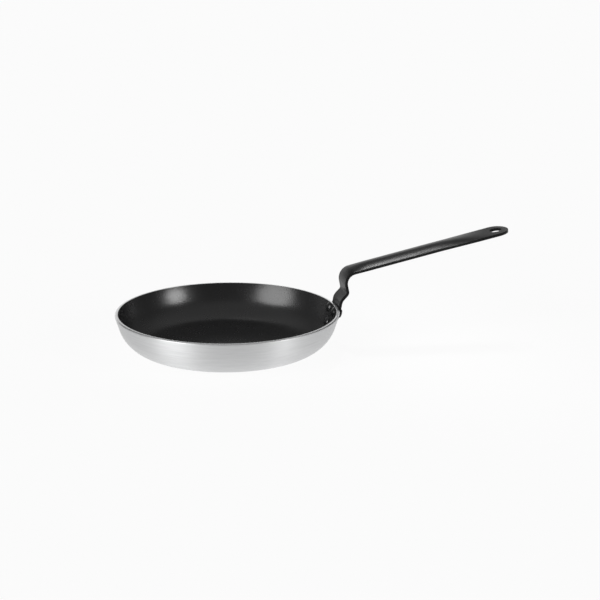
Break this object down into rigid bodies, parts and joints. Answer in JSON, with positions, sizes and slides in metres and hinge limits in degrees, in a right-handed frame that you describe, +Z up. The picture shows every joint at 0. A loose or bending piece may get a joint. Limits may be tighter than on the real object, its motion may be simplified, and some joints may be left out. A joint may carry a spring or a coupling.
{
  "type": "frying pan",
  "caption": "Round frying pan with flared aluminium wall, black non-stick inside and a riveted black strip-steel handle with a bent neck and a hanging hole.",
  "frame": {"origin": "middle of the base's flat underside, where the pan stands", "axes": "+Z up out of the pan along its axis, +X from the pan's axis along the handle, +Y completes the right-handed set"},
  "size_m": [0.5081, 0.28, 0.1333],
  "materials": {
    "sheet": "turned and finely brushed round the axis, satin, rim left bare",
    "coating": "baked non-stick layer, satin, with a fine orange-peel speckle",
    "handle": "steel strip with a baked black finish, satin, finely textured",
    "rivet": "black coated like the inside, smooth domes"
  },
  "bodies": {
    "root": {"pan_body": "sheet", "nonstick_coating": "coating", "handle": "handle", "rivet_upper_left": "rivet", "rivet_upper_right": "rivet", "rivet_lower": "rivet"}
  },
  "joints": []
}
